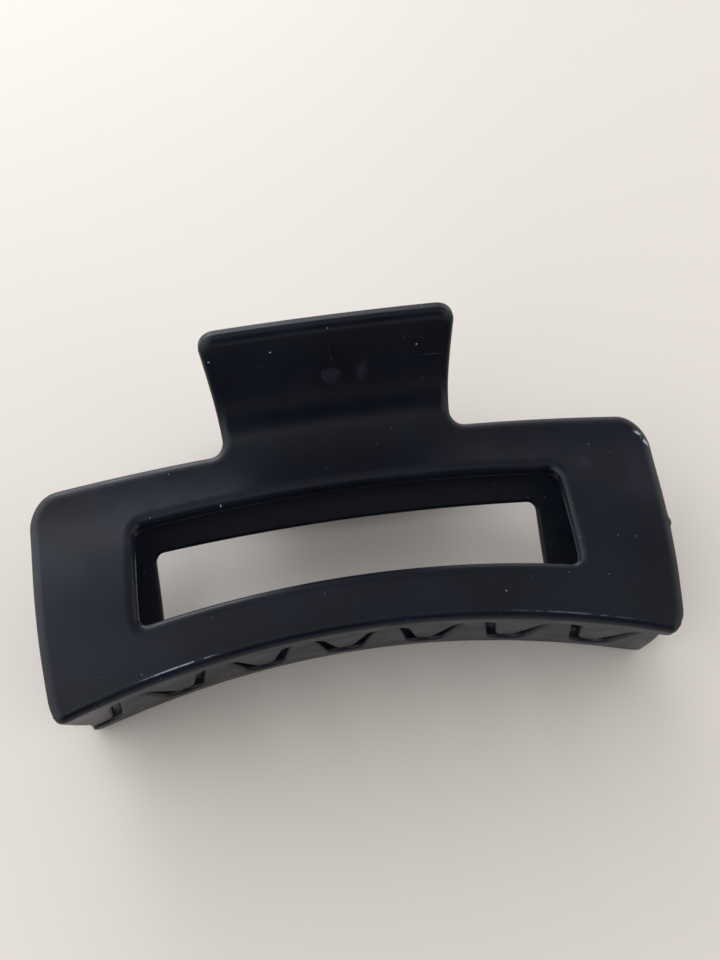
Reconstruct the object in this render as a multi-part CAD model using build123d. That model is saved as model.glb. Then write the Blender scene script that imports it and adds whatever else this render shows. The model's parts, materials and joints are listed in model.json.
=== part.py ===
from build123d import *
import copy
import math
import os

# A rectangular claw clip for hair, closed, lying on its rear jaw.
# It is drawn upright first: X along the clip, +Y to the rear jaw, +Z up to the thumb tabs,
# with z = 0 at the middle of the lower edge and y = 0 midway between the jaws.
# The last step lays the closed clip down on its rear jaw. All sizes are in millimetres.

# Jaw plate, seen from the front
TOP_LENGTH = 110.8
BOTTOM_LENGTH = 104.2
PLATE_HEIGHT = 34.6
BOTTOM_DROP = 8.35
TOP_DROP = 2.4
TOP_CORNER = 4.5
BOTTOM_CORNER = 2.5

# Thumb tab
TAB_ROOT_WIDTH = 40.2
TAB_END_WIDTH = 43.2
TAB_ROOT_FILLET = 2.6
TAB_END_CORNER = 2.6

# Window through the plate
WINDOW_WIDTH = 73.4
WINDOW_BOTTOM = 9.2
WINDOW_TOP = 25.4
WINDOW_CORNER = 1.6

# Side profile of the outer face: distance from the middle plane at each height
PROFILE = [
    (14.85, -9.5),
    (14.85, 0.0),
    (15.8, 11.3),
    (13.6, 22.6),
    (10.5, 34.0),
    (13.9, 41.4),
    (27.2, 48.25),
]
PROFILE_STEPS = 12
PLAN_BULGE = 2.3
WALL = 2.6
RIM = 1.1

# How far the blanks reach past the finished wall before they are cut away
BLANK_DEPTH = 45.0
BLANK_MARGIN = 3.0
EDGE_TOLERANCE = 0.4
TAB_MARGIN = 8.0

# Teeth: a curved floor cut into a comb that meshes with the other jaw's comb
TEETH = 7
TOOTH_PITCH = 14.7
TOOTH_SHIFT = TOOTH_PITCH / 4
FLOOR = 2.4
FLOOR_STEP = 0.1
TIP_REACH = 7.0
TIP_RADIUS = 1.85
VALLEY_REACH = 6.7
VALLEY_RADIUS = 3.45
END_INSET = 0.9
TOOTH_RIM = 0.4

# Hinge: lugs, pin and torsion spring
PIN_HEIGHT = 32.5
PIN_RADIUS = 1.0
RUNNING_GAP = 0.05
EYE_RADIUS = 3.0
LUG_THICKNESS = 2.4
LUG_INNER = 5.0
LUG_GAP = 0.4
LUG_FOOT_LOW = 31.0
LUG_FOOT_HIGH = 37.5
LUG_FOOT_RADIUS = 0.4
LUG_FOOT_SINK = (1.0, 0.0)
HEAD_RADIUS = 1.7
HEAD_THICKNESS = 0.8
HEAD_CHAMFER = 0.3
WIRE_RADIUS = 0.5
COIL_RADIUS = 2.15
COIL_FULL_TURNS = 5
COIL_HALF_WIDTH = 3.0
LEG_END = (9.4, 8.6)

HALF_BOTTOM = BOTTOM_LENGTH / 2
HALF_TOP = TOP_LENGTH / 2

# Lying down, the rear jaw touches the table at its lower edge and at its tab's end
REST_TILT = math.degrees(math.atan2(PROFILE[-1][0] - PROFILE[1][0], PROFILE[-1][1] - PROFILE[1][1]))


def drop(x, height):
    """How far an arched line at this height has fallen at distance x from the middle."""
    share = min(max(height / PLATE_HEIGHT, 0.0), 1.0)
    full = BOTTOM_DROP + (TOP_DROP - BOTTOM_DROP) * share
    return full * (x / HALF_BOTTOM) ** 2


def arched(x, height):
    return (x, height - drop(x, height))


def arch_between(x0, x1, height):
    return ThreePointArc(arched(x0, height), arched((x0 + x1) / 2, height), arched(x1, height))


def front_outline():
    """Plate and tab in one outline, in the XZ plane."""
    tab_top = PROFILE[-1][1] + TAB_MARGIN
    root = TAB_ROOT_WIDTH / 2
    end = TAB_END_WIDTH / 2
    lean = (end - root) / (PROFILE[-1][1] - PLATE_HEIGHT)
    end = root + lean * (tab_top - PLATE_HEIGHT)
    low_left = arched(-HALF_BOTTOM, 0)
    low_right = arched(HALF_BOTTOM, 0)
    high_left = arched(-HALF_TOP, PLATE_HEIGHT)
    high_right = arched(HALF_TOP, PLATE_HEIGHT)
    root_left = arched(-root, PLATE_HEIGHT)
    root_right = arched(root, PLATE_HEIGHT)
    edges = [
        arch_between(-HALF_BOTTOM, HALF_BOTTOM, 0),
        Line(low_right, high_right),
        arch_between(HALF_TOP, root, PLATE_HEIGHT),
        Line(root_right, (end, tab_top)),
        Line((end, tab_top), (-end, tab_top)),
        Line((-end, tab_top), root_left),
        arch_between(-root, -HALF_TOP, PLATE_HEIGHT),
        Line(high_left, low_left),
    ]
    face = make_face(edges)
    for radius, corners in (
        (BOTTOM_CORNER, (low_left, low_right)),
        (TOP_CORNER, (high_left, high_right)),
        (TAB_ROOT_FILLET, (root_left, root_right)),
    ):
        for corner in corners:
            face = round_corner(face, corner, radius)
    return Plane.XZ * face


def round_corner(face, corner, radius):
    """Rounds the one vertex of a flat face that lies at this corner."""
    spot = Vector(corner[0], corner[1], 0)
    vertex = min(face.vertices(), key=lambda v: (Vector(v.X, v.Y, v.Z) - spot).length)
    return fillet(vertex, radius)


def window_outline():
    half = WINDOW_WIDTH / 2
    edges = [
        arch_between(-half, half, WINDOW_BOTTOM),
        Line(arched(half, WINDOW_BOTTOM), arched(half, WINDOW_TOP)),
        arch_between(half, -half, WINDOW_TOP),
        Line(arched(-half, WINDOW_TOP), arched(-half, WINDOW_BOTTOM)),
    ]
    face = make_face(edges)
    face = fillet(face.vertices(), WINDOW_CORNER)
    return Plane.XZ * face


def wall_section():
    """Side section of the wall in the YZ plane, from below the lower edge to the tab's end."""
    outer = Spline(*[(-depth, height) for depth, height in PROFILE])
    inner_points = []
    for i in range(PROFILE_STEPS + 1):
        spot = outer.position_at(i / PROFILE_STEPS)
        along = outer.tangent_at(i / PROFILE_STEPS)
        inner_points.append((spot.X + along.Y * WALL, spot.Y - along.X * WALL))
    inner = Spline(*inner_points)
    edges = [outer, Line(outer @ 1, inner @ 1), inner, Line(inner @ 0, outer @ 0)]
    return Plane.YZ * make_face(edges)


def bent_wall():
    """The wall section swept round a large upright axis, which gives the plate its plan bulge."""
    radius = HALF_BOTTOM ** 2 / (2 * PLAN_BULGE) + PLAN_BULGE / 2
    reach = math.degrees(math.asin((HALF_TOP + BLANK_MARGIN) / radius))
    axis = Axis((0, radius - PROFILE[1][0], 0), (0, 0, 1))
    start = wall_section().rotate(axis, -reach)
    return revolve(start, axis=axis, revolution_arc=2 * reach)


def circle_centre(x, reach):
    """Centre of a tip circle, or of a valley circle where reach is negative, at x along the clip."""
    nearer = PLAN_BULGE * (x / HALF_BOTTOM) ** 2
    return Vector(x, reach - math.copysign(nearer, reach))


def comb_outline():
    """Plan outline of the floor strip and its teeth, in the XY plane, for the front jaw."""
    first = -TOOTH_SHIFT - TOOTH_PITCH * (TEETH - 1) / 2
    half_pitch = TOOTH_PITCH / 2
    back_depth = PROFILE[1][0] - WALL / 2
    back_end = HALF_BOTTOM - END_INSET
    back_left = (-back_end, -back_depth + PLAN_BULGE)
    back_right = (back_end, -back_depth + PLAN_BULGE)
    tip = circle_centre(first, TIP_REACH)
    start = (first - TIP_RADIUS, tip.Y)
    edges = [Line(back_left, start)]
    for i in range(TEETH):
        valley = circle_centre(tip.X + half_pitch, -VALLEY_REACH)
        following = circle_centre(tip.X + TOOTH_PITCH, TIP_REACH)
        fall = flank_angle(tip, valley)
        rise = flank_angle(following, valley)
        crown_end = tip + Vector(math.cos(fall), math.sin(fall)) * TIP_RADIUS
        dip_start = valley - Vector(math.cos(fall), math.sin(fall)) * VALLEY_RADIUS
        dip_end = valley + Vector(math.cos(rise), -math.sin(rise)) * VALLEY_RADIUS
        edges.append(ThreePointArc(start, tip + Vector(0, TIP_RADIUS), crown_end))
        edges.append(Line(crown_end, dip_start))
        bottom = valley - Vector(0, VALLEY_RADIUS)
        if i < TEETH - 1:
            edges.append(ThreePointArc(dip_start, bottom, dip_end))
            start = following + Vector(-math.cos(rise), math.sin(rise)) * TIP_RADIUS
            edges.append(Line(dip_end, start))
            tip = following
    half = (math.pi / 2 + fall) / 2
    middle = valley - Vector(math.cos(half), math.sin(half)) * VALLEY_RADIUS
    end_corner = (back_end, bottom.Y)
    edges.append(ThreePointArc(dip_start, middle, bottom))
    edges.append(Line(bottom, end_corner))
    edges.append(Line(end_corner, back_right))
    edges.append(ThreePointArc(back_right, (0, -back_depth), back_left))
    return make_face(edges)


def flank_angle(tip, valley):
    """Angle from the Y axis of the straight flank that touches a tip circle and a valley circle."""
    across = abs(valley.X - tip.X)
    along = tip.Y - valley.Y
    return math.atan2(across, along) - math.asin((TIP_RADIUS + VALLEY_RADIUS) / math.hypot(across, along))


def floor_slab():
    """The arched slab that the comb is cut from: the lowest band of the jaw's outline."""
    half = HALF_BOTTOM + BLANK_MARGIN
    low = -BOTTOM_DROP - BLANK_MARGIN
    left = (-half, FLOOR - drop(half, 0))
    right = (half, FLOOR - drop(half, 0))
    arc = ThreePointArc(left, (0, FLOOR), right)
    sides = [Line(right, (half, low)), Line((half, low), (-half, low)), Line((-half, low), left)]
    band = make_face([arc] + sides)
    raised = Pos(0, 0, FLOOR_STEP) * front_outline()
    return extrude(raised & (Plane.XZ * band), amount=BLANK_DEPTH, both=True)


def lug(x):
    """One hinge lug of the front jaw, from the inside of the wall to the eye round the pin."""
    eye = Pos(0, PIN_HEIGHT) * Circle(EYE_RADIUS)
    wall_middle = PROFILE[4][0] - WALL / 2
    low = Pos(-wall_middle - LUG_FOOT_SINK[0], LUG_FOOT_LOW) * Circle(LUG_FOOT_RADIUS)
    high = Pos(-wall_middle - LUG_FOOT_SINK[1], LUG_FOOT_HIGH) * Circle(LUG_FOOT_RADIUS)
    edges = eye.edges() + low.edges() + high.edges()
    side = make_hull(edges)
    hole = Pos(0, PIN_HEIGHT) * Circle(PIN_RADIUS + RUNNING_GAP)
    body = extrude(Plane.YZ * (side - hole), amount=LUG_THICKNESS)
    return Pos(x, 0, 0) * body


def jaw_wall():
    """Plate and tab, bent, cut to outline, with its window, and with every rim rounded."""
    blank = extrude(front_outline(), amount=BLANK_DEPTH)
    wall = bent_wall() & blank
    wall -= extrude(window_outline(), amount=BLANK_DEPTH)
    wall = fillet(tab_end_corners(wall), TAB_END_CORNER)
    rims = [e for e in wall.edges() if not is_through_edge(e, WALL) and not is_floor_joint(e)]
    return fillet(rims, RIM)


def tab_end_corners(wall):
    """The two short edges through the wall's thickness at the free corners of the tab."""
    halfway_up = (PLATE_HEIGHT + PROFILE[-1][1]) / 2
    through = [e for e in wall.edges() if is_through_edge(e, WALL) and e.center().Z > halfway_up]
    through.sort(key=lambda e: abs(e.center().X))
    return through[-2:]


def is_through_edge(edge, thickness):
    """True for a short edge that runs straight through a sheet of this thickness."""
    return abs(edge.length - thickness) < EDGE_TOLERANCE


def is_floor_joint(edge):
    """True for the long inner edge at the foot of the wall, where the toothed floor joins it."""
    middle = edge @ 0.5
    inside = middle.Y > WALL / 2 - PROFILE[1][0]
    return edge.length > TOP_LENGTH / 2 and abs(middle.Z) < EDGE_TOLERANCE and inside


def toothed_floor():
    """The comb cut from the arched slab, with its rims rounded."""
    comb = extrude(comb_outline(), amount=BLANK_DEPTH, both=True) & floor_slab()
    wall_inside = PLAN_BULGE + WALL - PROFILE[1][0]
    level = [e for e in comb.edges() if abs((e @ 0).Z - (e @ 1).Z) < 1 or not is_through_edge(e, FLOOR)]
    rims = [e for e in level if (e @ 0.5).Y > wall_inside + 1]
    return fillet(rims, TOOTH_RIM)


def front_jaw():
    body = jaw_wall() + toothed_floor()
    body += lug(-(LUG_INNER + 2 * LUG_THICKNESS + LUG_GAP))
    body += lug(LUG_INNER)
    return body


def hinge_pin():
    half = LUG_INNER + 2 * LUG_THICKNESS + 1.5 * LUG_GAP
    pin = Cylinder(PIN_RADIUS, 2 * half)
    for side in (-1, 1):
        pin += Pos(0, 0, side * (half + HEAD_THICKNESS / 2)) * Cylinder(HEAD_RADIUS, HEAD_THICKNESS)
    rims = [e for e in pin.edges() if abs(e.center().Z) > half + HEAD_THICKNESS / 2]
    pin = chamfer(rims, HEAD_CHAMFER)
    return Pos(0, 0, PIN_HEIGHT) * Rot(0, 90, 0) * pin


def torsion_spring():
    """A left-hand coil round the pin, with a straight leg up the inside of each tab.

    Squeezing the tabs winds the coil tighter. The first leg lies behind the rear tab and the last
    behind the front tab, and LEG_END is how far out and up from the pin each one reaches.
    """
    reach = math.hypot(*LEG_END)
    slope = math.degrees(math.atan2(LEG_END[1], LEG_END[0]))
    start_angle = slope - math.degrees(math.acos(COIL_RADIUS / reach))
    turns = COIL_FULL_TURNS + (180 + 2 * start_angle) / 360
    width = 2 * COIL_HALF_WIDTH
    path = Helix(width / turns, width, COIL_RADIUS, lefthand=True)
    section = Plane(origin=path @ 0, z_dir=path % 0) * Circle(WIRE_RADIUS)
    spring = sweep(section, path=path, is_frenet=True)
    length = math.sqrt(reach ** 2 - COIL_RADIUS ** 2)
    leg = Cylinder(WIRE_RADIUS, length, align=(Align.CENTER, Align.CENTER, Align.MIN))
    spring += Plane(origin=path @ 0, z_dir=-(path % 0)) * leg
    spring += Plane(origin=path @ 1, z_dir=path % 1) * leg
    spring = Rot(0, 0, start_angle) * Pos(0, 0, -COIL_HALF_WIDTH) * spring
    return Pos(0, 0, PIN_HEIGHT) * (Plane.YZ * spring)


def lay_down(parts):
    """Turns the upright clip onto its rear jaw, with the origin at the middle of its footprint."""
    turned = {name: Rot(REST_TILT - 90, 0, 0) * shape for name, shape in parts.items()}
    box = Compound(children=[copy.copy(shape) for shape in turned.values()]).bounding_box()
    base = Pos(-box.center().X, -box.center().Y, -box.min.Z)
    return {name: base * shape for name, shape in turned.items()}


def build():
    jaw = front_jaw()
    upright = {
        "front_jaw": jaw,
        "rear_jaw": Rot(0, 0, 180) * jaw,
        "hinge_pin": hinge_pin(),
        "torsion_spring": torsion_spring(),
    }
    return lay_down(upright)


if __name__ == "__main__":
    os.makedirs("parts", exist_ok=True)
    for name, shape in build().items():
        export_step(shape, f"parts/{name}.step")
        print(name, round(shape.volume, 1), shape.is_valid, shape.bounding_box())
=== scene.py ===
import json
import math

import bpy
import numpy as np
from mathutils import Matrix, Vector, geometry


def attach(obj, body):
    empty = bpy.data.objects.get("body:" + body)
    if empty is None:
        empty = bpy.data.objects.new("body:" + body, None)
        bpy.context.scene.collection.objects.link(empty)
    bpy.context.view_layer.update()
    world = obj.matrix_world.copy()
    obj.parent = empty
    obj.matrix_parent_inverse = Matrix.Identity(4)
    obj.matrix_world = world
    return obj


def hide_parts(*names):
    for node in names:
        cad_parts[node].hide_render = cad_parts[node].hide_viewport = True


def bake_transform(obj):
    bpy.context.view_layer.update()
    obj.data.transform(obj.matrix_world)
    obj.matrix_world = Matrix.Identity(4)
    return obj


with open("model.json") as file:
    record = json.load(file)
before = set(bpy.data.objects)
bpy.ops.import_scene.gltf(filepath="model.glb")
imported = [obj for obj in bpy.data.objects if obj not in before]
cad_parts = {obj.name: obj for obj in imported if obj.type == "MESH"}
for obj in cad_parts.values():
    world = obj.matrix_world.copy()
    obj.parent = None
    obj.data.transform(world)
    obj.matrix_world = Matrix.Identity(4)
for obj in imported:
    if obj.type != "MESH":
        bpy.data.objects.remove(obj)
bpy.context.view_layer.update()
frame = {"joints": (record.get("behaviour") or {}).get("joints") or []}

# A rectangular claw clip of matte plastic, lying on its rear jaw.
# The jaws are drawn upright in millimetres, as in the CAD model: x along the clip, y to the rear
# jaw, z up to the thumb tabs, with z = 0 at the middle of the lower edge. LAY turns them to the
# frame. A jaw's bent sheet is also drawn unrolled, in (x, s): s is the distance along its profile,
# 0 where the floor meets the bend, negative towards the teeth and positive up to the tab's end.

MM = 0.001

# Plate and wall
HALF_BOTTOM = 52.1
HALF_TOP = 55.4
PLATE_HEIGHT = 34.7
BOTTOM_DROP = 8.35          # how far the ends of the lower edge lie below its middle
TOP_DROP = 2.4
FALL_EASE = 2.0             # half the height over which the arch settles at the top edge
PLAN_BULGE = 2.3            # how much nearer the rear jaw the ends are than the middle
WALL = 2.6
# (depth, height) of the outer face at x = 0, from the lower edge to the tab's end
PROFILE = [(14.85, 0.0), (15.8, 11.3), (13.6, 22.6), (10.5, 34.0), (13.9, 41.4), (27.2, 48.25)]
FOOT_EASE = 3.0             # height over which the wall's foot eases on to the profile
BEND = 1.5                  # outer radius between floor and wall
INNER_BEND = 1.0

# Tab and window
TAB_HALF_ROOT = 20.1
TAB_HALF_END = 21.6
TAB_END_HOLLOW = 0.35       # how far the tab's corners stand past the middle of its end
TAB_END_BOW = 800.0         # radius of that end
WINDOW_HALF_WIDTH = 36.7
WINDOW_BOTTOM = 8.9
WINDOW_TOP = 25.5

# Corner radii in the plane of the sheet
TOP_CORNER = 4.8
TAB_ROOT_FILLET = 2.4
TAB_END_CORNER = 2.9
WINDOW_CORNER = 1.7
FLOOR_END_CORNER = 1.6
NO_CORNER = 0.01

# Toothed floor. The tips' circles are centred past the middle plane, the valleys' short of it.
TEETH = 7
TOOTH_PITCH = 14.7
TIP_REACH = 7.6
TIP_RADIUS = 1.85
VALLEY_REACH = 6.7
VALLEY_RADIUS = 3.45
FIRST_FLANK = -2.0          # degrees from the y axis, left side of the first tooth
FLOOR = 2.4
FLOOR_AT_TIP = 2.1
TIP_RISE = 0.45
TIP_RISE_POWER = 1.5
TAPER_START = 5.0           # distance from the plate at which the floor starts to rise and thin
TAPER_LENGTH = 17.0

# Ends of a jaw: half lengths of the floor, and the s between which the plate's end eases in to it
END_RIGHT = 50.5
END_LEFT = 51.3
CORNER_HIGH = 4.2
CORNER_LOW = -1.2

# Trimmed gate of the mould, a small swelling on the right end of the plate
NUB_HEIGHT = 17.0
NUB_HALF = 0.55
NUB_REACH = 0.35
NUB_ROOT = 52.6
NUB_FALL = 1.1

# Rounding of the rims: across and below the outer face, then across and above the inner face
WALL_RIM = (1.9, 1.25, 0.6, 0.55)
TOOTH_RIM = (0.7, 0.7, 0.45, 0.45)
LUG_RIM = 0.3
RIM_CHANGE_S = 1.5          # the wall's rounding turns into the teeth's from here down
RIM_CHANGE = 3.0
RIM_CHANGE_LEFT = 12.0      # added to that length at the left end
LEFT_END = -47.0
LEFT_END_BLEND = 2.0

# Hinge
PIN_HEIGHT = 32.5
PIN_RADIUS = 1.0
EYE_RADIUS = 3.0
BORE_RADIUS = 1.05
LUG_THICKNESS = 2.4
LUG_INNER = 5.0
LUG_GAP = 0.4
LUG_FOOT_LOW = (-10.0, 31.0)
LUG_FOOT_HIGH = (-9.1, 37.5)
LUG_FOOT_RADIUS = 0.4
HEAD_RADIUS = 1.7
HEAD_EDGE = 0.08            # small break of the head's inner edge
HEAD_RIM = 0.45
HEAD_DOME = 0.35
HEAD_DOME_WIDTH = 0.9
WIRE_RADIUS = 0.5
COIL_RADIUS = 2.15
COIL_FULL_TURNS = 5
COIL_HALF_WIDTH = 3.0
LEG_END = (9.4, 8.6)        # from the pin: to the side and up

# Spacing of mesh points inside a face, and the share of it kept free beside an outline
GRID = 1.3
BEND_GRID = 0.3
WALL_GRID = 1.0
GRID_CLEARANCE = 0.45
REAR_SHIFT = 200.0          # moves the rear jaw's marks along, so that the jaws differ

# Materials
PLASTIC_COLOUR = (0.002, 0.004, 0.012)
PLASTIC_HAZE = (0.004, 0.0075, 0.018)
PLASTIC_SMUDGE = (0.008, 0.007, 0.02)
PLASTIC_ROUGHNESS = (0.32, 0.41)
PLASTIC_GLOSS = 0.42
DUST_COLOUR = (0.30, 0.32, 0.36)
RUBBED_COLOUR = (0.34, 0.36, 0.46)
MARK_ROUGHNESS = 0.35       # added where the plastic is rubbed or dusty
TAB_MARK_HEIGHT = 43.5
TAB_RING_RADIUS = 1.5
STEEL_DULL = 0.72           # share of the steel's colour left where its polish is dull
TABLE_COLOUR = (0.755, 0.715, 0.665)

# Camera, in degrees and metres
CAMERA_AZIMUTH = 6.35
CAMERA_ELEVATION = 59.3
CAMERA_ROLL = -2.34
CAMERA_DISTANCE = 0.1767
CAMERA_AIM = (0.0028, 0.0018, 0.0277)
CAMERA_LENS = 50

# Light: place, size, power and colour of each lamp; then headings and colours of the room
WINDOW_LIGHT = ((-0.75, 0.85, 0.7), (1.2, 0.6), 1.0, (0.95, 0.98, 1.0))
BACK_LIGHT = ((-0.25, 1.1, 0.5), (0.9, 0.3), 3.2, (0.98, 0.98, 1.0))
ROOM_HEADING = (-0.6, 0.4, 0.35)
ROOM_SPREAD = (-0.9, 0.9)
ROOM_DIM = (1.15, 1.08, 1.01)
ROOM_BRIGHT = (1.45, 1.47, 1.51)
CEILING_HEADING = (0.25, 0.25, 0.93)
CEILING_SPREAD = (0.5, 0.95)
CEILING_DIM = (0.4, 0.4, 0.4)
PERSON_HEADING = (0.05, -0.88, 0.47)
PERSON_SPREAD = (0.72, 0.97)
PERSON_DARK = (0.05, 0.05, 0.05)
TABLE_HALF = 1.5
EXPOSURE = 0.05
LOOK = "Medium High Contrast"

hinge = frame["joints"][0]["pos_m"]
tilt = math.atan2(PROFILE[-1][0] - PROFILE[0][0], PROFILE[-1][1])
LAY = Matrix.Translation(hinge) @ Matrix.Rotation(tilt - math.pi / 2, 4, "X")
LAY = LAY @ Matrix.Translation((0, 0, -PIN_HEIGHT * MM)) @ Matrix.Scale(MM, 4)


# ---------------------------------------------------------------- side profile of the sheet

def natural_spline(knots, values):
    """A function for the natural cubic curve through these knots."""
    n = len(knots)
    h = np.diff(knots)
    a = np.eye(n)
    b = np.zeros(n)
    for i in range(1, n - 1):
        a[i, i - 1:i + 2] = h[i - 1], 2 * (h[i - 1] + h[i]), h[i]
        b[i] = 6 * ((values[i + 1] - values[i]) / h[i] - (values[i] - values[i - 1]) / h[i - 1])
    m = np.linalg.solve(a, b)

    def curve(x):
        i = np.clip(np.searchsorted(knots, x) - 1, 0, n - 2)
        left = knots[i + 1] - x
        right = x - knots[i]
        bend = (m[i] * left ** 3 + m[i + 1] * right ** 3) / (6 * h[i])
        low = (values[i] / h[i] - m[i] * h[i] / 6) * left
        return bend + low + (values[i + 1] / h[i] - m[i + 1] * h[i] / 6) * right

    return curve


def side_profile():
    """The sheet's profile at x = 0, as four arrays: s, outer points, inner points and heights.

    Points are (y, z). A height says how far up the arch its point belongs: 0 on floor and bend.
    """
    heights = np.array([height for depth, height in PROFILE])
    depths = np.array([depth for depth, height in PROFILE])
    depth_at = natural_spline(heights, depths)
    foot = depths[0]
    v = np.linspace(BEND, heights[-1] + TAB_END_HOLLOW, 1500)
    wall = np.column_stack([-depth_at(v), v])
    wall[:, 0] += (-wall[0, 0] - foot) * np.exp(-(v - BEND) / FOOT_EASE)
    tangent = np.gradient(wall, axis=0)
    tangent /= np.linalg.norm(tangent, axis=1)[:, None]
    inward = np.column_stack([tangent[:, 1], -tangent[:, 0]])
    wall_s = np.concatenate([[0], np.cumsum(np.linalg.norm(np.diff(wall, axis=0), axis=1))])
    wall_s += BEND_LENGTH

    angle = np.linspace(0, math.pi / 2, 60)[:-1]
    bend = np.column_stack([-foot + BEND - BEND * np.sin(angle), BEND - BEND * np.cos(angle)])
    bend_s = angle * BEND

    reach = np.linspace(2 * foot - 2, BEND, 600)[:-1]
    taper = np.clip((reach - TAPER_START) / TAPER_LENGTH, 0, 1)
    floor = np.column_stack([-foot + reach, TIP_RISE * taper ** TIP_RISE_POWER])
    floor_s = BEND - reach
    thickness = FLOOR + (FLOOR_AT_TIP - FLOOR) * taper

    s = np.concatenate([floor_s, bend_s, wall_s])
    outer = np.concatenate([floor, bend, wall])
    inner = np.zeros_like(outer)
    inner[:len(reach)] = floor + np.column_stack([np.zeros_like(reach), thickness])
    inner[-len(v):] = wall + inward * WALL
    low = BEND - (WALL + INNER_BEND)
    high = np.interp(FLOOR + INNER_BEND, v, wall_s)
    corner = (s > low) & (s < high)
    turn = (s[corner] - low) / (high - low) * math.pi / 2
    centre = (-foot + WALL + INNER_BEND, FLOOR + INNER_BEND)
    inner[corner, 0] = centre[0] - INNER_BEND * np.sin(turn)
    inner[corner, 1] = centre[1] - INNER_BEND * np.cos(turn)
    height = np.concatenate([np.zeros(len(reach) + len(angle)), v])
    return s, outer, inner, height


BEND_LENGTH = BEND * math.pi / 2
S, OUTER, INNER, HEIGHT = side_profile()
S_END = np.interp(PROFILE[-1][1], OUTER[:, 1], S)


def s_at_height(v):
    """Distance along the outer line at which the wall reaches this height."""
    start = np.searchsorted(S, BEND_LENGTH)
    return np.interp(v, OUTER[start:, 1], S[start:])


def fall_share(height):
    """How far the arch has eased from its full drop (0) to the drop of the top edge (1)."""
    near = np.clip(height - (PLATE_HEIGHT - FALL_EASE), 0, 2 * FALL_EASE)
    share = np.minimum(height, PLATE_HEIGHT + FALL_EASE) / PLATE_HEIGHT
    return share - near ** 2 / (4 * FALL_EASE * PLATE_HEIGHT)


def jaw_point(x, s, share):
    """Upright places on the front jaw; share goes from 0 on the outer face to 1 on the inner."""
    y, z = (np.interp(s, S, OUTER[:, k]) * (1 - share) + np.interp(s, S, INNER[:, k]) * share
            for k in (0, 1))
    far = (x / HALF_BOTTOM) ** 2
    drop = BOTTOM_DROP + (TOP_DROP - BOTTOM_DROP) * fall_share(np.interp(s, S, HEIGHT))
    return np.column_stack([x, y + PLAN_BULGE * far, z - drop * far])


# ---------------------------------------------------------------- flat outlines

def arc(centre, radius, start, end, step=0.35):
    """Points of an arc, angles in degrees from +x."""
    count = max(3, int(abs(math.radians(end - start)) * radius / step) + 1)
    angles = np.radians(np.linspace(start, end, count))
    x = centre[0] + radius * np.cos(angles)
    y = centre[1] + radius * np.sin(angles)
    return np.column_stack([x, y])


def straight(a, b, step=1.0):
    """Points of a straight line, both ends included."""
    count = max(2, int(math.dist(a, b) / step) + 1)
    share = np.linspace(0, 1, count)[:, None]
    return np.array(a) * (1 - share) + np.array(b) * share


def rounded(corners, step=1.0):
    """A closed outline through (x, y, radius) corners, each rounded to its radius."""
    points = []
    n = len(corners)
    for i, (x, y, radius) in enumerate(corners):
        here = Vector((x, y))
        *following, next_radius = corners[(i + 1) % n]
        before = Vector(corners[i - 1][:2])
        after = Vector(following)
        to_before = (before - here).normalized()
        to_after = (after - here).normalized()
        half = to_before.angle(to_after) / 2
        cut = radius / math.tan(half)
        centre = here + (to_before + to_after).normalized() * radius / math.sin(half)
        first = here + to_before * cut
        last = here + to_after * cut
        a = math.degrees(math.atan2(first.y - centre.y, first.x - centre.x))
        b = math.degrees(math.atan2(last.y - centre.y, last.x - centre.x))
        b = a + (b - a + 180) % 360 - 180
        points.append(arc(centre, radius, a, b))
        next_turn = (after - here).angle(Vector(corners[(i + 2) % n][:2]) - after)
        next_first = after - to_after * next_radius * math.tan(next_turn / 2)
        if (next_first - last).length > 1.5 * step:
            points.append(straight(last, next_first, step)[1:-1])
    return np.concatenate(points)


def flank_angle(tip, valley):
    """Angle from the y axis of the straight flank between a tip circle and a valley circle."""
    across = abs(valley[0] - tip[0])
    along = tip[1] - valley[1]
    lean = math.asin((TIP_RADIUS + VALLEY_RADIUS) / math.hypot(across, along))
    return math.atan2(across, along) - lean


def comb_line():
    """The free edge of the toothed floor from its left end to its right end, in plan (x, y)."""

    def centre(x, side):
        reach = TIP_REACH if side > 0 else VALLEY_REACH
        return (x, side * (reach - PLAN_BULGE * (x / HALF_BOTTOM) ** 2))

    first = -TOOTH_PITCH / 4 - TOOTH_PITCH * (TEETH - 1) / 2
    line = []
    for i in range(TEETH):
        x = first + TOOTH_PITCH * i
        tip = centre(x, 1)
        before = centre(x - TOOTH_PITCH / 2, -1)
        after = centre(x + TOOTH_PITCH / 2, -1)
        rise = math.degrees(flank_angle(tip, before)) if i else FIRST_FLANK
        fall = math.degrees(flank_angle(tip, after))
        following = math.degrees(flank_angle(centre(x + TOOTH_PITCH, 1), after))
        crown = arc(tip, TIP_RADIUS, 180 - rise, fall)
        end = 360 - following if i < TEETH - 1 else 270
        dip = arc(after, VALLEY_RADIUS, 180 + fall, end)
        if i:
            line.append(straight(line[-1][-1], crown[0])[1:-1])
        line.append(crown)
        line.append(straight(crown[-1], dip[0])[1:-1])
        line.append(dip)
    return np.concatenate(line)


def to_sheet(points):
    """Plan points of the floor as (x, s) points of the unrolled sheet."""
    reach = points[:, 1] + PROFILE[0][0] - PLAN_BULGE * (points[:, 0] / HALF_BOTTOM) ** 2
    return np.column_stack([points[:, 0], BEND - reach])


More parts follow.
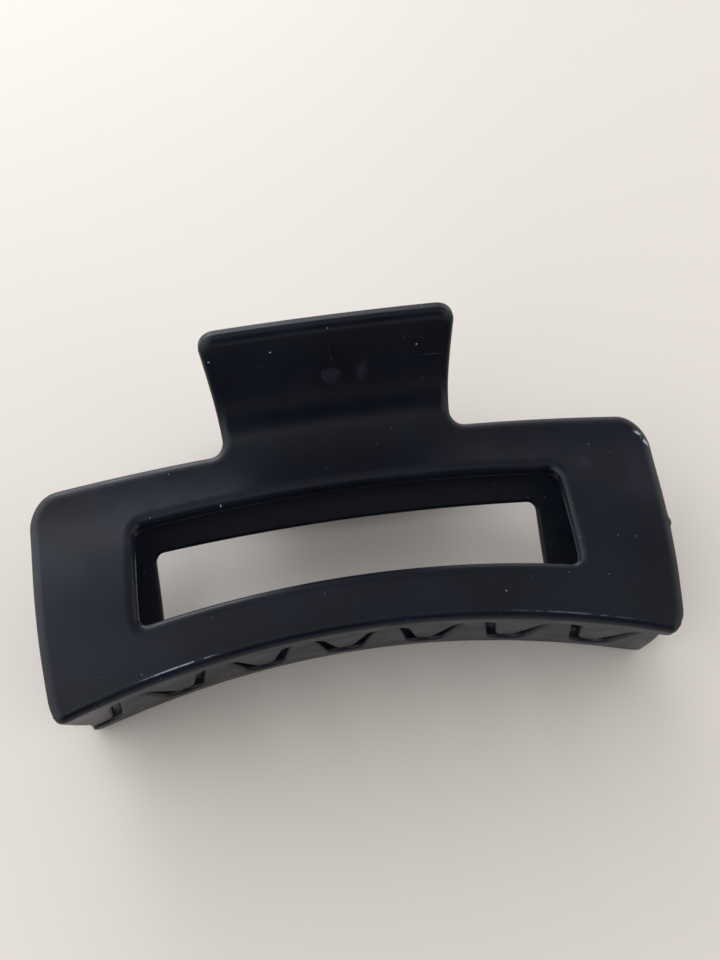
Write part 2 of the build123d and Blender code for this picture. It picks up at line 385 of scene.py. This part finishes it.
def end_edge(floor_half):
    """Right edge of the jaw in (x, s), from the floor to below the top corner.

    The plate's end eases in to the floor's end round the bend. Points are closer about the nub.
    """
    around_nub = NUB_HEIGHT + NUB_HALF * np.linspace(-1.4, 1.4, 15)
    below = np.linspace(BEND, around_nub[0], 16)
    above = np.linspace(around_nub[-1], PLATE_HEIGHT - TOP_CORNER - 2.5, 12)[1:]
    v = np.concatenate([below[:-1], around_nub, above])
    low_s = np.arange(CORNER_LOW, BEND_LENGTH - 0.3, 0.45)
    low_v = BEND - BEND * np.cos(np.clip(low_s / BEND, 0, math.pi / 2))
    s = np.concatenate([low_s, s_at_height(v)])
    v = np.concatenate([low_v, v])
    share = np.clip((CORNER_HIGH - s) / (CORNER_HIGH - CORNER_LOW), 0, 1)
    ease = share ** 2 * (3 - 2 * share)
    plate_half = HALF_BOTTOM + (HALF_TOP - HALF_BOTTOM) * v / PLATE_HEIGHT
    return np.column_stack([plate_half - (HALF_BOTTOM - floor_half) * ease, s])


def jaw_outline():
    """The unrolled outline of a front jaw, anticlockwise in (x, s) from the left of the comb."""
    comb = to_sheet(comb_line())
    radius = FLOOR_END_CORNER
    right_corner = arc((END_RIGHT - radius, comb[-1][1] + radius), radius, -90, 0)
    right = end_edge(END_RIGHT)
    left = end_edge(END_LEFT)[::-1] * (-1, 1)
    side_x, side_s = right[-1]
    top = s_at_height(PLATE_HEIGHT)
    slope = (HALF_TOP - HALF_BOTTOM) / PLATE_HEIGHT
    top_x = side_x + slope * (top - side_s)
    tab_end = S_END + TAB_END_HOLLOW
    closing_x = side_x - 12     # the line that closes this outline below is dropped again

    half = [
        (closing_x, side_s, NO_CORNER),
        (side_x, side_s, NO_CORNER),
        (top_x, top, TOP_CORNER),
        (TAB_HALF_ROOT, top, TAB_ROOT_FILLET),
        (TAB_HALF_END, tab_end, TAB_END_CORNER),
    ]
    upper = rounded(half + [(0, S_END, TAB_END_BOW)] + [(-x, s, r) for x, s, r in half[::-1]])
    upper = upper[upper[:, 1] > side_s + 0.05]
    root = straight((-END_LEFT, CORNER_LOW), comb[0], 2.0)[1:-1]
    return np.concatenate([comb, right_corner[1:], right, upper, left, root])


def window_outline():
    """The unrolled outline of the window."""
    low = s_at_height(WINDOW_BOTTOM)
    high = s_at_height(WINDOW_TOP)
    half = WINDOW_HALF_WIDTH
    return rounded([
        (-half, low, WINDOW_CORNER),
        (half, low, WINDOW_CORNER),
        (half, high, WINDOW_CORNER),
        (-half, high, WINDOW_CORNER),
    ])


# ---------------------------------------------------------------- sheets with rounded rims

def even(points, gap=0.12):
    """The closed outline without points that nearly repeat."""
    kept = [points[0]]
    for p in points[1:]:
        if math.dist(p, kept[-1]) > gap:
            kept.append(p)
    if math.dist(kept[0], kept[-1]) < gap:
        kept.pop()
    return np.array(kept)


def inward_normals(points):
    """Unit directions to the left of a closed outline, at each of its points."""
    after = np.roll(points, -1, axis=0) - points
    after /= np.linalg.norm(after, axis=1)[:, None]
    before = np.roll(after, 1, axis=0)
    along = after + before
    along /= np.linalg.norm(along, axis=1)[:, None]
    return np.column_stack([-along[:, 1], along[:, 0]])


def inside(points, outline):
    """Which points lie inside a closed outline."""
    a = outline
    b = np.roll(outline, -1, axis=0)
    x = points[:, 0][:, None]
    y = points[:, 1][:, None]
    cross = (a[:, 1] > y) != (b[:, 1] > y)
    rise = np.where(b[:, 1] == a[:, 1], 1e-12, b[:, 1] - a[:, 1])
    at = a[:, 0] + (y - a[:, 1]) * (b[:, 0] - a[:, 0]) / rise
    return (np.sum(cross & (x < at), axis=1) % 2) == 1


def clear_of(points, outline, gap):
    """The points that are further than the gap from every point of an outline."""
    near = np.array([np.min(np.hypot(*(outline - p).T)) for p in points])
    return points[near > gap]


def face_triangles(rings, grid):
    """Triangles on the rings' and the grid's points, in the first ring and outside the rest."""
    flat = np.concatenate(rings + [grid])
    edges = []
    start = 0
    for ring in rings:
        n = len(ring)
        edges += [(start + i, start + (i + 1) % n) for i in range(n)]
        start += n
    out = geometry.delaunay_2d_cdt([Vector(p) for p in flat], edges, [], 1, 1e-5)
    source = [ids[0] for ids in out[3]]
    triangles = np.array([[source[i] for i in t] for t in out[2] if len(t) == 3])
    centres = flat[triangles].mean(axis=1)
    keep = inside(centres, rings[0])
    for hole in rings[1:]:
        keep &= ~inside(centres, hole)
    triangles = triangles[keep]
    a, b, c = (flat[triangles[:, k]] for k in range(3))
    area = ((b[:, 0] - a[:, 0]) * (c[:, 1] - a[:, 1])
            - (b[:, 1] - a[:, 1]) * (c[:, 0] - a[:, 0]))
    triangles[area < 0] = triangles[area < 0][:, ::-1]
    return triangles[np.abs(area) > 1e-9]


def placed_normals(place, flat, normals):
    """Unit normals of the placed surface, and its hand, from flat places and the normals there."""
    slopes = []
    for k in range(3):
        step = np.zeros(3)
        step[k] = 0.02
        slopes.append(place(*(flat + step).T) - place(*(flat - step).T))
    crossed = [np.cross(slopes[(k + 1) % 3], slopes[(k + 2) % 3]) for k in range(3)]
    hand = np.sign(np.sum(slopes[0] * crossed[0], axis=1))
    turned = sum(normals[:, k][:, None] * crossed[k] for k in range(3)) * hand[:, None]
    return turned / np.linalg.norm(turned, axis=1)[:, None], hand[0]


def sheet(outline, holes, rim, place, columns, rows, thickness, steps=7):
    """A closed shell over a flat outline, with rounded rims.

    rim(points) gives how far the rounding reaches at each outline point: across and below the outer
    face, then across and above the inner one. place(x, s, depth) gives the upright place of a point
    that is this deep under the outer face. Inside the outline, mesh points stand at the columns and
    rows. Returns vertices, faces, normals and flat places (x, s, depth).
    """
    loops = [even(outline)] + [even(h)[::-1] for h in holes]
    angles = np.linspace(0, math.pi / 2, steps)
    flat = []
    normals = []
    faces = []
    first_rings = []
    count = 0
    for points in loops:
        inward = inward_normals(points)
        across, below, across_in, above = (r[:, None] for r in rim(points))
        n = len(points)
        for a in angles[::-1]:
            deep = below * (1 - math.sin(a))
            flat.append(np.hstack([points + inward * across * (1 - math.cos(a)), deep]))
            normals.append(np.hstack([-inward * math.cos(a) / across, -math.sin(a) / below]))
        for a in angles:
            deep = thickness - above * (1 - math.sin(a))
            flat.append(np.hstack([points + inward * across_in * (1 - math.cos(a)), deep]))
            normals.append(np.hstack([-inward * math.cos(a) / across_in, math.sin(a) / above]))
        first_rings.append((count, n))
        for r in range(2 * steps - 1):
            for i in range(n):
                a = count + r * n
                j = (i + 1) % n
                faces.append((a + i, a + j, a + n + j, a + n + i))
        count += 2 * steps * n

    flat = np.concatenate(flat)
    normals = np.concatenate(normals)
    for side, turn in ((0, -1), (2 * steps - 1, 1)):
        ids = [np.arange(first + side * n, first + (side + 1) * n) for first, n in first_rings]
        rings = [flat[i, :2] for i in ids]
        grid = np.array([(x, s) for s in rows for x in columns])
        grid = grid[inside(grid, rings[0])]
        for hole in rings[1:]:
            grid = grid[~inside(grid, hole)]
        for ring in rings:
            grid = clear_of(grid, ring, GRID_CLEARANCE * GRID)
        lookup = np.concatenate(ids + [np.arange(len(flat), len(flat) + len(grid))])
        depth = 0 if side == 0 else thickness
        flat = np.concatenate([flat, np.column_stack([grid, np.full(len(grid), depth)])])
        normals = np.concatenate([normals, np.tile((0, 0, turn), (len(grid), 1))])
        faces += [tuple(t[::turn]) for t in lookup[face_triangles(rings, grid)].tolist()]

    verts = place(*flat.T)
    normals, hand = placed_normals(place, flat, normals)
    if hand < 0:
        faces = [f[::-1] for f in faces]
    return verts, faces, normals, flat


def wall_and_teeth():
    """The bent sheet of the front jaw: tab, plate, bend and teeth."""

    def rim(points):
        at_left_end = np.clip((LEFT_END - points[:, 0]) / LEFT_END_BLEND, 0, 1)
        length = RIM_CHANGE + RIM_CHANGE_LEFT * at_left_end
        on_floor = np.clip((RIM_CHANGE_S - points[:, 1]) / length, 0, 1)
        return [wall + (tooth - wall) * on_floor for wall, tooth in zip(WALL_RIM, TOOTH_RIM)]

    nub_s = s_at_height(NUB_HEIGHT)

    def place(x, s, depth):
        near_end = np.clip((x - NUB_ROOT) / NUB_FALL, 0, 1) ** 2
        nub = NUB_REACH * near_end / (1 + ((s - nub_s) / NUB_HALF) ** 4)
        return jaw_point(x + nub, s, depth / WALL)

    columns = np.arange(-55, 55.1, GRID)
    floor_rows = np.arange(S[0], -2.2, GRID)
    bend_rows = np.arange(-2.2, BEND_LENGTH + 2, BEND_GRID)
    wall_rows = np.arange(BEND_LENGTH + 2.5, S_END, WALL_GRID)
    rows = np.concatenate([floor_rows, bend_rows, wall_rows])
    return sheet(jaw_outline(), [window_outline()], rim, place, columns, rows, WALL)


def lug(x):
    """One hinge lug of the front jaw, from x to x + LUG_THICKNESS."""
    outline = np.concatenate([
        arc(LUG_FOOT_LOW, LUG_FOOT_RADIUS, 150, 255, 0.2),
        arc((0, PIN_HEIGHT), EYE_RADIUS, -95, 62),
        arc(LUG_FOOT_HIGH, LUG_FOOT_RADIUS, 70, 150, 0.2),
    ])
    hole = arc((0, PIN_HEIGHT), BORE_RADIUS, 0, 345, 0.25)

    def place(y, z, depth):
        return np.column_stack([x + depth, y, z])

    def rim(points):
        return [np.full(len(points), LUG_RIM)] * 4

    columns = np.arange(-12, 4, GRID)
    rows = np.arange(26, 40, GRID)
    return sheet(outline, [hole], rim, place, columns, rows, LUG_THICKNESS, steps=4)


# ---------------------------------------------------------------- making objects

def make_object(name, parts, turn=Matrix.Identity(4), shift=0.0):
    """One mesh object from parts, laid down into the frame.

    A part is (vertices, faces) or (vertices, faces, normals, flat places). Without normals it is
    shaded smooth up to 40 degrees. The flat places are kept for the material, moved along by shift.
    """
    verts = []
    faces = []
    for part in parts:
        base = len(verts)
        verts.extend(part[0])
        faces.extend([tuple(i + base for i in f) for f in part[1]])
    mesh = bpy.data.meshes.new(name)
    mesh.from_pydata([tuple(v) for v in verts], [], faces)
    mesh.transform(LAY @ turn)
    mesh.update()
    mesh.shade_smooth()
    if len(parts[0]) == 4:
        spin = np.array((LAY @ turn).to_3x3().normalized())
        normals = np.concatenate([part[2] for part in parts]) @ spin.T
        mesh.normals_split_custom_set_from_vertices([tuple(n) for n in normals])
        flat = mesh.attributes.new("flat", "FLOAT_VECTOR", "POINT")
        places = np.concatenate([part[3] for part in parts]) + (shift, 0, 0)
        flat.data.foreach_set("vector", places.astype(np.float32).ravel())
    else:
        mesh.set_sharp_from_angle(angle=math.radians(40))
    obj = bpy.data.objects.new(name, mesh)
    bpy.context.scene.collection.objects.link(obj)
    return obj


def skin(rings, sides):
    """Faces between rings of points that follow each other in one list, and over both ends."""
    faces = []
    for r in range(rings - 1):
        for k in range(sides):
            j = (k + 1) % sides
            faces.append((r * sides + k, r * sides + j, (r + 1) * sides + j, (r + 1) * sides + k))
    last = (rings - 1) * sides
    return faces + [tuple(range(sides))[::-1], tuple(range(last, last + sides))]


def tube(path, radius, sides=16):
    """A round tube with domed ends along a list of points."""
    path = np.array(path)
    tangent = np.gradient(path, axis=0)
    tangent /= np.linalg.norm(tangent, axis=1)[:, None]
    side = np.cross(tangent[0], (1, 0, 0))
    side /= np.linalg.norm(side)
    rings = []
    domes = [(-math.cos(a) * radius, math.sin(a) * radius) for a in (0.3, 0.8, 1.2)]
    for i, centre in enumerate(path):
        side = side - tangent[i] * (side @ tangent[i])
        side /= np.linalg.norm(side)
        other = np.cross(tangent[i], side)
        if i == 0:
            rings += [(centre + tangent[0] * along, side, other, wide) for along, wide in domes]
        rings.append((centre, side, other, radius))
        if i == len(path) - 1:
            rings += [(centre - tangent[i] * along, side, other, wide)
                      for along, wide in domes[::-1]]
    verts = []
    for centre, side, other, wide in rings:
        for k in range(sides):
            a = 2 * math.pi * k / sides
            verts.append(centre + (side * math.cos(a) + other * math.sin(a)) * wide)
    return np.array(verts), skin(len(rings), sides)


def lathe(outline, height, sides=48):
    """A solid of revolution from (x, radius) points, about a line along x at this height."""
    verts = []
    for x, radius in outline:
        for k in range(sides):
            a = 2 * math.pi * k / sides
            verts.append((x, radius * math.cos(a), height + radius * math.sin(a)))
    return np.array(verts), skin(len(outline), sides)


def spring_path():
    """Centre line of the wire: rear leg, left-hand coil, front leg."""
    reach = math.hypot(*LEG_END)
    start = math.atan2(LEG_END[1], LEG_END[0]) - math.acos(COIL_RADIUS / reach)
    sweep = 2 * math.pi * COIL_FULL_TURNS + math.pi + 2 * start
    coil = []
    for share in np.arange(221) / 220:
        a = start - sweep * share
        x = COIL_HALF_WIDTH * (2 * share - 1)
        y = COIL_RADIUS * math.cos(a)
        z = PIN_HEIGHT + COIL_RADIUS * math.sin(a)
        coil.append(np.array((x, y, z)))
    first = coil[0] - coil[1]
    last = coil[-1] - coil[-2]
    length = math.sqrt(reach ** 2 - COIL_RADIUS ** 2)
    first *= length / np.linalg.norm(first)
    last *= length / np.linalg.norm(last)
    shares = np.linspace(0, 1, 24)[1:]
    rear_leg = [coil[0] + first * t for t in shares[::-1]]
    front_leg = [coil[-1] + last * t for t in shares]
    return rear_leg + coil + front_leg


def pin_outline():
    """(x, radius) points of the pin, with a low domed head at each end."""
    half = LUG_INNER + 2 * LUG_THICKNESS + 1.5 * LUG_GAP
    edge = half + HEAD_RIM
    head = [(half, PIN_RADIUS), (half, HEAD_RADIUS - HEAD_EDGE), (half + 0.1, HEAD_RADIUS)]
    head.append((edge, HEAD_RADIUS))
    for a in (0.4, 0.8, 1.2, 1.5):
        radius = HEAD_RADIUS - HEAD_DOME_WIDTH * (1 - math.cos(a))
        head.append((edge + HEAD_DOME * math.sin(a), radius))
    return [(-x, radius) for x, radius in head[::-1]] + head


# ---------------------------------------------------------------- materials

def new_material(name, colour, roughness, metallic=0.0):
    """A material, its node tree and its shader."""
    material = bpy.data.materials.new(name)
    material.use_nodes = True
    shader = material.node_tree.nodes["Principled BSDF"]
    shader.inputs["Base Color"].default_value = (*colour, 1)
    shader.inputs["Roughness"].default_value = roughness
    shader.inputs["Metallic"].default_value = metallic
    return material, material.node_tree, shader


def connect(tree, value, socket):
    """Sets a socket from a number or from another node's output."""
    if isinstance(value, bpy.types.NodeSocket):
        tree.links.new(value, socket)
    else:
        socket.default_value = value


def calc(tree, operation, *values):
    """The output of a Math node on these values."""
    node = tree.nodes.new("ShaderNodeMath")
    node.operation = operation
    for value, socket in zip(values, node.inputs):
        connect(tree, value, socket)
    return node.outputs[0]


def ramp(tree, value, start, end, low=0.0, high=1.0):
    """Goes smoothly from low to high as the value goes from start to end; either may be larger."""
    falling = start > end
    node = tree.nodes.new("ShaderNodeMapRange")
    node.interpolation_type = "SMOOTHSTEP"
    node.inputs["From Min"].default_value = min(start, end)
    node.inputs["From Max"].default_value = max(start, end)
    node.inputs["To Min"].default_value = high if falling else low
    node.inputs["To Max"].default_value = low if falling else high
    connect(tree, value, node.inputs["Value"])
    return node.outputs["Result"]


def mixed(tree, share, first, second):
    """A colour from the first to the second; each is three numbers or another node's output."""
    mix = tree.nodes.new("ShaderNodeMix")
    mix.data_type = "RGBA"
    tree.links.new(share, mix.inputs["Factor"])
    for name, colour in (("A", first), ("B", second)):
        if isinstance(colour, tuple):
            mix.inputs[name].default_value = (*colour, 1)
        else:
            tree.links.new(colour, mix.inputs[name])
    return mix.outputs["Result"]


def millimetres(tree, stretch=(1, 1, 1)):
    """Places on the object in millimetres, each axis multiplied by its stretch."""
    node = tree.nodes.new("ShaderNodeMapping")
    node.inputs["Scale"].default_value = [1000 * s for s in stretch]
    tree.links.new(tree.nodes.new("ShaderNodeTexCoord").outputs["Object"], node.inputs["Vector"])
    return node.outputs["Vector"]


def noise(tree, place, size, detail=2.0):
    """Cloudy noise around 0.5, with patches of about this size in millimetres."""
    node = tree.nodes.new("ShaderNodeTexNoise")
    node.inputs["Scale"].default_value = 1 / size
    node.inputs["Detail"].default_value = detail
    tree.links.new(place, node.inputs["Vector"])
    return node.outputs["Fac"]


def specks(tree, x, s, spacing, radius, share):
    """1 inside round specks of this radius, in this share of the cells of an uneven pattern."""
    place = tree.nodes.new("ShaderNodeCombineXYZ")
    tree.links.new(x, place.inputs[0])
    tree.links.new(s, place.inputs[1])
    node = tree.nodes.new("ShaderNodeTexVoronoi")
    node.voronoi_dimensions = "2D"
    node.inputs["Scale"].default_value = 1 / spacing
    tree.links.new(place.outputs[0], node.inputs["Vector"])
    chance = tree.nodes.new("ShaderNodeSeparateColor")
    tree.links.new(node.outputs["Color"], chance.inputs[0])
    size = calc(tree, "MULTIPLY_ADD", chance.outputs[1], radius / spacing, 0.6 * radius / spacing)
    near = calc(tree, "DIVIDE", node.outputs["Distance"], size)
    chosen = calc(tree, "LESS_THAN", chance.outputs[0], share)
    return calc(tree, "MULTIPLY", ramp(tree, near, 1.0, 0.6), chosen)


def patch(tree, x, s, centre, half_sizes, slope=0.0):
    """1 in the middle of a soft oval mark at (x, s), 0 outside it; slope leans its long axis."""
    dx = calc(tree, "SUBTRACT", x, centre[0])
    ds = calc(tree, "SUBTRACT", s, centre[1])
    ds = calc(tree, "MULTIPLY_ADD", dx, -slope, ds)
    across = calc(tree, "POWER", calc(tree, "DIVIDE", dx, half_sizes[0]), 2.0)
    along = calc(tree, "POWER", calc(tree, "DIVIDE", ds, half_sizes[1]), 2.0)
    return ramp(tree, calc(tree, "ADD", across, along), 1.0, 0.1)


def strongest(tree, marks):
    """The largest of several values."""
    total = marks[0]
    for mark in marks[1:]:
        total = calc(tree, "MAXIMUM", total, mark)
    return total


def add_bump(tree, shader, height, strength, distance):
    """Bump from a height; the distance is in millimetres."""
    bump = tree.nodes.new("ShaderNodeBump")
    bump.inputs["Strength"].default_value = strength
    bump.inputs["Distance"].default_value = distance * MM
    tree.links.new(height, bump.inputs["Height"])
    tree.links.new(bump.outputs["Normal"], shader.inputs["Normal"])


def soft_touch_plastic():
    """Near-black rubbery plastic: haze, smudges, dust, a rubbed line on the bend and scuffs."""
    material, tree, shader = new_material(
        "soft_touch_plastic", PLASTIC_COLOUR, PLASTIC_ROUGHNESS[0])
    shader.inputs["Specular IOR Level"].default_value = PLASTIC_GLOSS
    place = millimetres(tree)
    attribute = tree.nodes.new("ShaderNodeAttribute")
    attribute.attribute_name = "flat"
    split = tree.nodes.new("ShaderNodeSeparateXYZ")
    tree.links.new(attribute.outputs["Vector"], split.inputs[0])
    x, s, depth = split.outputs
    broad = noise(tree, place, 22.0)
    cloudy = noise(tree, place, 6.0, 4.0)
    streaky = noise(tree, millimetres(tree, (1, 0.35, 0.35)), 3.0, 3.0)
    grain = noise(tree, place, 0.4)

    # Dust: a few specks and finer, fainter ones, placed differently on the inner face
    inner_x = calc(tree, "MULTIPLY_ADD", ramp(tree, depth, 1.2, 1.4), 37.0, x)
    fine_dust = specks(tree, inner_x, s, 3.1, 0.09, 0.14)
    dust = strongest(tree, [
        specks(tree, inner_x, s, 11.0, 0.15, 0.36),
        calc(tree, "MULTIPLY", fine_dust, 0.45),
    ])

    # Marks of the outer face, one of them a small ring on the tab
    outer = ramp(tree, depth, 0.9, 0.3)
    tab_s = float(s_at_height(TAB_MARK_HEIGHT))
    x_squared = calc(tree, "POWER", x, 2.0)
    s_squared = calc(tree, "POWER", calc(tree, "SUBTRACT", s, tab_s), 2.0)
    from_middle = calc(tree, "SQRT", calc(tree, "ADD", x_squared, s_squared))
    off_ring = calc(tree, "ABSOLUTE", calc(tree, "SUBTRACT", from_middle, TAB_RING_RADIUS))
    ring = calc(tree, "MULTIPLY", ramp(tree, off_ring, 0.22, 0.05), outer)

    edge_s = BEND_LENGTH - 0.2
    scuff_s, lower_scuff_s, nub_s = (float(s_at_height(v)) for v in (31.6, 30.1, NUB_HEIGHT))
    marks = [calc(tree, "MULTIPLY", ring, 0.06)]
    for centre, half_sizes, slope, strength in (
        ((-31.0, edge_s), (7.5, 0.17), 0.0, 0.8),           # rubbed line on the bend, left
        ((34.0, edge_s), (13.0, 0.17), 0.0, 0.22),          # the same, right
        ((52.9, scuff_s), (0.9, 0.5), -0.6, 1.0),           # scuffs at the top right corner
        ((53.9, lower_scuff_s), (0.8, 0.7), -0.9, 1.0),
        ((54.2, nub_s), (0.8, 1.0), 0.0, 0.4),              # cut face of the gate
        ((5.4, tab_s + 0.8), (1.2, 3.6), 0.0, 0.045),       # marks on the tab
        ((17.0, tab_s + 2.2), (2.8, 0.15), 0.0, 0.15),
        ((0.0, tab_s), (2.0, 2.0), 0.0, 0.05),
    ):
        mark = patch(tree, x, s, centre, half_sizes, slope)
        marks.append(calc(tree, "MULTIPLY", mark, strength))
    broken = ramp(tree, noise(tree, place, 1.6, 3.0), 0.36, 0.52)
    on_outer = calc(tree, "MULTIPLY", strongest(tree, marks), outer)
    rubbed = calc(tree, "MULTIPLY", on_outer, broken)

    colour = mixed(tree, ramp(tree, broad, 0.38, 0.62), PLASTIC_COLOUR, PLASTIC_HAZE)
    smudge = calc(tree, "MULTIPLY", ramp(tree, cloudy, 0.5, 0.72), ramp(tree, streaky, 0.4, 0.65))
    colour = mixed(tree, smudge, colour, PLASTIC_SMUDGE)
    colour = mixed(tree, rubbed, colour, RUBBED_COLOUR)
    colour = mixed(tree, dust, colour, DUST_COLOUR)
    tree.links.new(colour, shader.inputs["Base Color"])

    roughness = ramp(tree, cloudy, 0.3, 0.7, *PLASTIC_ROUGHNESS)
    rougher = calc(tree, "MULTIPLY", strongest(tree, [rubbed, dust]), MARK_ROUGHNESS)
    roughness = calc(tree, "ADD", roughness, rougher)
    tree.links.new(roughness, shader.inputs["Roughness"])

    height = calc(tree, "MULTIPLY_ADD", grain, 0.16, noise(tree, place, 7.0, 1.0))
    height = calc(tree, "MULTIPLY_ADD", streaky, 0.25, height)
    height = calc(tree, "MULTIPLY_ADD", ring, -0.5, height)
    height = calc(tree, "MULTIPLY_ADD", dust, 1.2, height)
    add_bump(tree, shader, height, 1.0, 0.02)
    return material


def steel(name, colour, roughness):
    """Bright steel with fine turning marks round the hinge axis and slightly uneven polish."""
    material, tree, shader = new_material(name, colour, roughness, 1.0)
    lines = noise(tree, millimetres(tree, (1, 0.06, 0.06)), 0.12, 3.0)
    uneven = noise(tree, millimetres(tree), 1.3, 3.0)
    dull = tuple(STEEL_DULL * c for c in colour)
    polish = mixed(tree, ramp(tree, uneven, 0.45, 0.75), colour, dull)
    tree.links.new(polish, shader.inputs["Base Color"])
    both = calc(tree, "MULTIPLY_ADD", lines, 0.5, calc(tree, "MULTIPLY", uneven, 0.5))
    spread = ramp(tree, both, 0.3, 0.7, roughness - 0.07, roughness + 0.16)
    tree.links.new(spread, shader.inputs["Roughness"])
    add_bump(tree, shader, lines, 0.5, 0.006)
    return material


# ---------------------------------------------------------------- the clip

half_turn = Matrix.Rotation(math.pi, 4, "Z")
outer_lug = -(LUG_INNER + 2 * LUG_THICKNESS + LUG_GAP)
jaw_parts = [wall_and_teeth(), lug(outer_lug), lug(LUG_INNER)]
front_jaw = make_object("front_jaw_shell", jaw_parts)
rear_jaw = make_object("rear_jaw_shell", jaw_parts, half_turn, REAR_SHIFT)
pin = make_object("hinge_pin_rod", [lathe(pin_outline(), PIN_HEIGHT)])
spring = make_object("torsion_spring_wire", [tube(spring_path(), WIRE_RADIUS)])

plastic = soft_touch_plastic()
for jaw, node, body in ((front_jaw, "front_jaw", "front"), (rear_jaw, "rear_jaw", "rear")):
    jaw.data.materials.append(plastic)
    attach(jaw, body)
    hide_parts(node)
pin.data.materials.append(steel("pin_steel", (0.62, 0.62, 0.63), 0.28))
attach(pin, "rear")
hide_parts("hinge_pin")
spring.data.materials.append(steel("spring_steel", (0.5, 0.5, 0.52), 0.32))
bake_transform(spring)
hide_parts("torsion_spring")


# ---------------------------------------------------------------- floor, light and camera

def add_floor():
    """The pale table top."""
    mesh = bpy.data.meshes.new("table_top")
    corners = [(x * TABLE_HALF, y * TABLE_HALF, 0) for x, y in ((-1, -1), (1, -1), (1, 1), (-1, 1))]
    mesh.from_pydata(corners, [], [(0, 1, 2, 3)])
    obj = bpy.data.objects.new("table_top", mesh)
    bpy.context.scene.collection.objects.link(obj)
    mesh.materials.append(new_material("pale_table", TABLE_COLOUR, 0.5)[0])


def add_light(name, place, size, power, colour):
    """A rectangular lamp that points at the origin, on the table."""
    light = bpy.data.lights.new(name, "AREA")
    light.shape = "RECTANGLE"
    light.size, light.size_y = size
    light.energy = power
    light.color = colour
    obj = bpy.data.objects.new(name, light)
    obj.location = place
    obj.rotation_euler = (-Vector(place)).to_track_quat("-Z", "Y").to_euler()
    bpy.context.scene.collection.objects.link(obj)


def add_camera():
    """The camera looks at the middle of the clip, turned a little about its view."""
    azimuth = math.radians(CAMERA_AZIMUTH)
    elevation = math.radians(CAMERA_ELEVATION)
    roll = math.radians(CAMERA_ROLL)
    level = math.cos(elevation)
    view = Vector((math.sin(azimuth) * level, math.cos(azimuth) * level, -math.sin(elevation)))
    camera = bpy.data.cameras.new("camera")
    camera.sensor_fit = "HORIZONTAL"
    camera.sensor_width = 36
    camera.lens = CAMERA_LENS
    camera.clip_start = 0.005
    obj = bpy.data.objects.new("camera", camera)
    turn = view.to_track_quat("-Z", "Y").to_matrix() @ Matrix.Rotation(roll, 3, "Z")
    place = Vector(CAMERA_AIM) - view * CAMERA_DISTANCE
    obj.matrix_world = Matrix.Translation(place) @ turn.to_4x4()
    bpy.context.scene.collection.objects.link(obj)
    bpy.context.scene.camera = obj


def facing_share(tree, direction, heading, low, high):
    """0 where a direction is far from a heading, 1 where it is near; low and high are cosines."""
    dot = tree.nodes.new("ShaderNodeVectorMath")
    dot.operation = "DOT_PRODUCT"
    dot.inputs[1].default_value = Vector(heading).normalized()
    spread = tree.nodes.new("ShaderNodeMapRange")
    spread.interpolation_type = "SMOOTHSTEP"
    spread.inputs["From Min"].default_value = low
    spread.inputs["From Max"].default_value = high
    tree.links.new(direction, dot.inputs[0])
    tree.links.new(dot.outputs["Value"], spread.inputs["Value"])
    return spread.outputs["Result"]


def add_room():
    """Soft room light: bright near the window, dim overhead, dark where a person would stand."""
    world = bpy.data.worlds.new("room")
    world.use_nodes = True
    tree = world.node_tree
    direction = tree.nodes.new("ShaderNodeTexCoord").outputs["Generated"]
    near_window = facing_share(tree, direction, ROOM_HEADING, *ROOM_SPREAD)
    room = mixed(tree, near_window, ROOM_DIM, ROOM_BRIGHT)
    near_ceiling = facing_share(tree, direction, CEILING_HEADING, *CEILING_SPREAD)
    room = mixed(tree, near_ceiling, room, CEILING_DIM)
    near_person = facing_share(tree, direction, PERSON_HEADING, *PERSON_SPREAD)
    room = mixed(tree, near_person, room, PERSON_DARK)
    background = tree.nodes["Background"]
    tree.links.new(room, background.inputs["Color"])
    bpy.context.scene.world = world


settings = bpy.context.scene.view_settings
settings.view_transform = "Standard"
settings.look = LOOK
settings.exposure = EXPOSURE
add_floor()
add_light("window_light", *WINDOW_LIGHT)
add_light("back_light", *BACK_LIGHT)
add_room()
add_camera()
